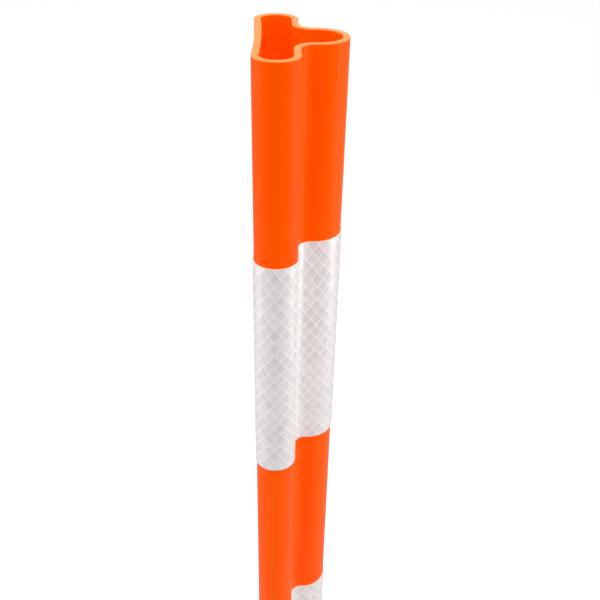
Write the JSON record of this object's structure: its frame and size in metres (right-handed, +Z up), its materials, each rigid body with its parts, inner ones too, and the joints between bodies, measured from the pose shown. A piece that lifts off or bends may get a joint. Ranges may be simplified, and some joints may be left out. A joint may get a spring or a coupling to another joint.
{
  "type": "delineator post",
  "caption": "Tall orange road delineator: a hollow T-shaped plastic post with white reflective bands, standing in a heavy black rubber base that lifts off over the top.",
  "frame": {"origin": "on the ground under the middle of the post and of the base", "axes": "+Z up along the post, +X towards the nose of the round-nosed arm, +Y across the two broad lobes"},
  "size_m": [0.36, 0.36, 1.067],
  "materials": {
    "post_plastic": "satin, fluorescent orange",
    "reflective_sheeting": "prismatic white sheeting",
    "foot_plastic": "moulded",
    "screw_steel": "zinc plated",
    "base_rubber": "recycled rubber, matt"
  },
  "bodies": {
    "post": {"post_tube": "post_plastic", "upper_band": "reflective_sheeting", "lower_band": "reflective_sheeting", "foot": "foot_plastic", "foot_screws": "screw_steel"},
    "base": {"rubber_base": "base_rubber"}
  },
  "joints": [
    {"name": "base_lift", "type": "slide", "parent": "post", "child": "base", "axis": [0, 0, 1], "range_m": [0, 0.9]}
  ]
}
